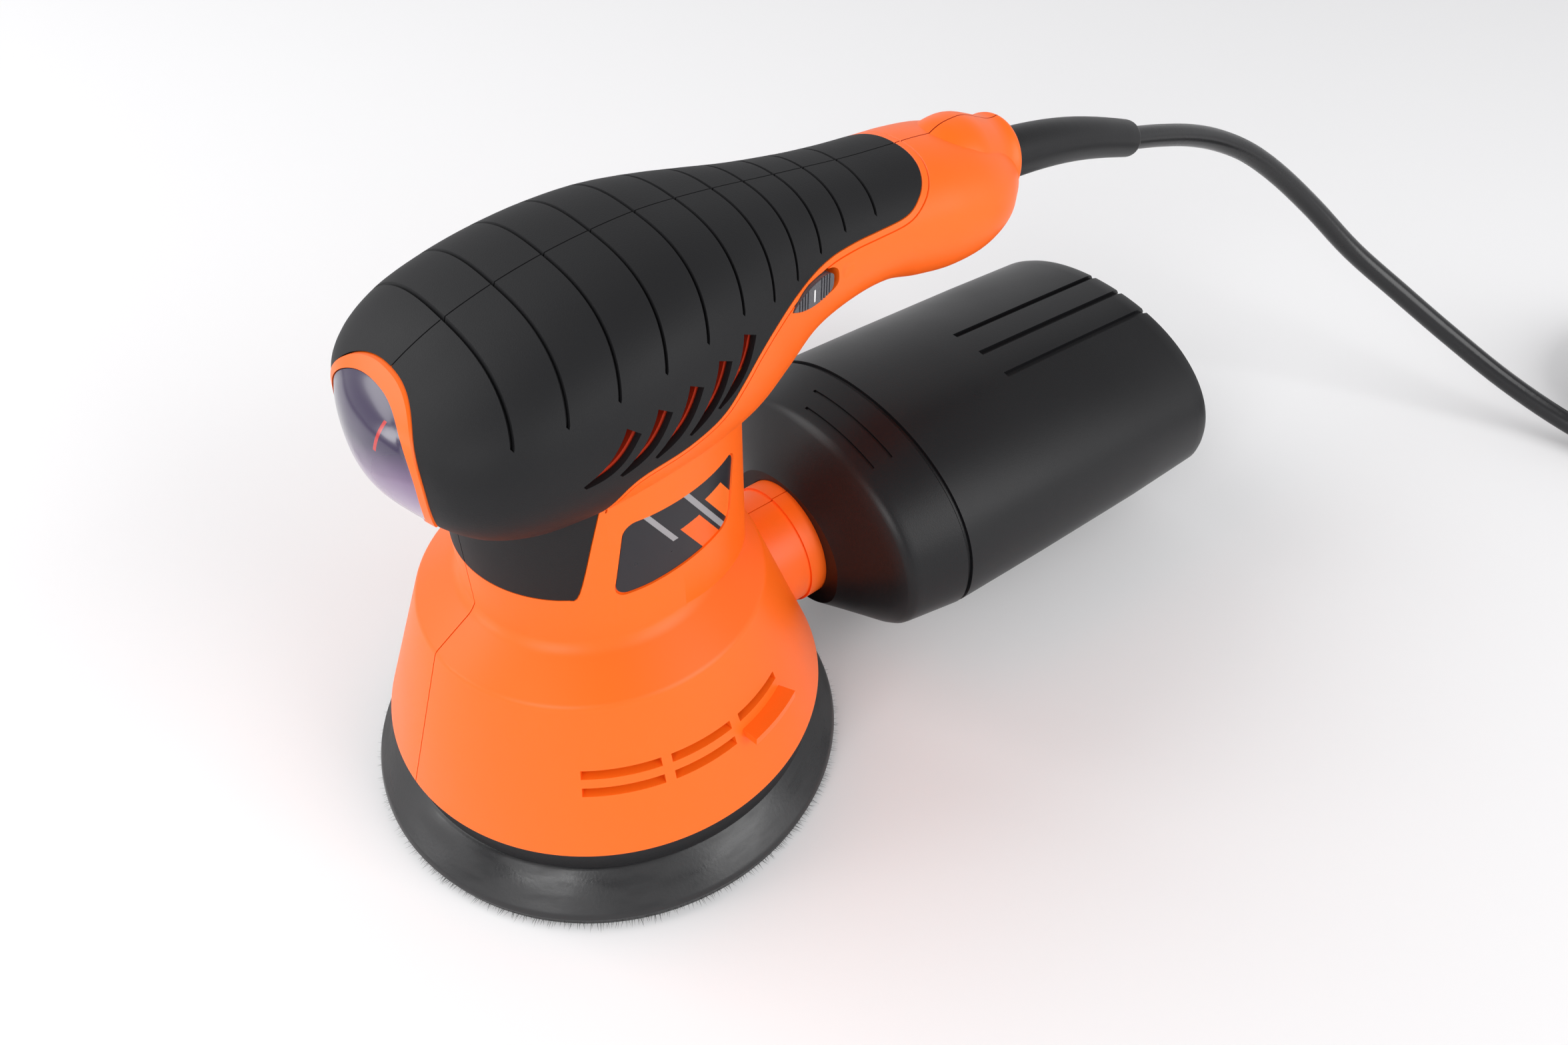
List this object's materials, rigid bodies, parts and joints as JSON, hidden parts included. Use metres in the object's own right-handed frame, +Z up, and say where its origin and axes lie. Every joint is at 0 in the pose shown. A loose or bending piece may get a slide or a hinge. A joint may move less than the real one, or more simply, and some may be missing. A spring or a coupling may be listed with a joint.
{
  "type": "random orbital sander",
  "caption": "Corded palm sander with a round hook pad on an orbiting crank, skirted motor housing, rubber grip handle, slide switch, rear dust box and wound mains cord.",
  "frame": {"origin": "on the motor axis, in the underside of the hook layer of the sanding pad", "axes": "+Z up along the motor axis, -Y towards the nose, +Y along the handle towards the cord, +X towards the side with the switch"},
  "size_m": [0.2914, 0.4896, 0.1541],
  "materials": {
    "orange_plastic": "satin, finely grained",
    "black_rubber": "matte",
    "black_plastic": "satin",
    "dark_grey_plastic": "matte",
    "smoked_lens": "gloss",
    "pad_rubber": "semi-gloss",
    "hook_fabric": "napped",
    "filter_paper": "matte",
    "steel": "brushed",
    "cast_zinc": "as cast",
    "cast_aluminium": "as cast",
    "lamination_steel": "satin",
    "copper": "enamelled",
    "brass": "bright",
    "carbon": "matte",
    "capacitor_can": "satin",
    "cord_sheath": "semi-gloss"
  },
  "bodies": {
    "body": {"housing_left": "orange_plastic", "housing_right": "orange_plastic", "grip_left": "black_rubber", "grip_right": "black_rubber", "nose_bezel": "orange_plastic", "nose_lens": "smoked_lens", "switch_body": "black_plastic", "capacitor": "capacitor_can", "housing_screw_1": "steel", "housing_screw_2": "steel", "housing_screw_3": "steel", "housing_screw_4": "steel", "housing_screw_5": "steel", "brake_ring": "black_rubber", "motor_bracket": "cast_aluminium", "lower_bearing": "steel", "stator_core": "lamination_steel", "field_coil_left": "copper", "field_coil_right": "copper", "brush_left": "carbon", "brush_right": "carbon", "brush_holder_left": "brass", "brush_holder_right": "brass", "brush_spring_left": "steel", "brush_spring_right": "steel", "brush_plate": "black_plastic", "upper_bearing": "steel", "cord_guard": "black_rubber", "cord_clamp": "black_plastic", "clamp_screw_1": "steel", "clamp_screw_2": "steel", "cord": "cord_sheath", "cord_coil": "cord_sheath", "cord_tie": "black_plastic", "plug_body": "black_plastic", "plug_pin_1": "brass", "plug_pin_2": "brass"},
    "rotor": {"motor_shaft": "steel", "armature_core": "lamination_steel", "winding_lower": "copper", "winding_upper": "copper", "commutator": "copper", "fan": "black_plastic", "counterweight": "cast_zinc", "pad_bearing": "steel"},
    "pad": {"backing_pad": "pad_rubber", "hook_layer": "hook_fabric", "pad_hub": "steel", "pad_screw_1": "steel", "pad_screw_2": "steel", "pad_screw_3": "steel", "pad_screw_4": "steel"},
    "switch": {"switch_slider": "dark_grey_plastic"},
    "dust_box": {"dust_box_cap": "black_plastic", "dust_box_seal": "black_rubber"},
    "dust_can": {"dust_box_body": "black_plastic", "dust_filter": "filter_paper"}
  },
  "joints": [
    {"name": "rotor_spin", "type": "hinge", "parent": "body", "child": "rotor", "pos_m": [0, 0, 0.06], "axis": [0, 0, 1], "continuous": true},
    {"name": "pad_spin", "type": "hinge", "parent": "rotor", "child": "pad", "pos_m": [0, -0.0012, 0.026], "axis": [0, 0, 1], "continuous": true},
    {"name": "switch_slide", "type": "slide", "parent": "body", "child": "switch", "axis": [-0.2785, 0.9603, 0.0192], "range_m": [0, 0.003]},
    {"name": "dust_box_pull", "type": "slide", "parent": "body", "child": "dust_box", "axis": [0, 1, 0], "range_m": [0, 0.02]},
    {"name": "dust_can_pull", "type": "slide", "parent": "dust_box", "child": "dust_can", "axis": [0, 1, 0], "range_m": [0, 0.03]}
  ]
}
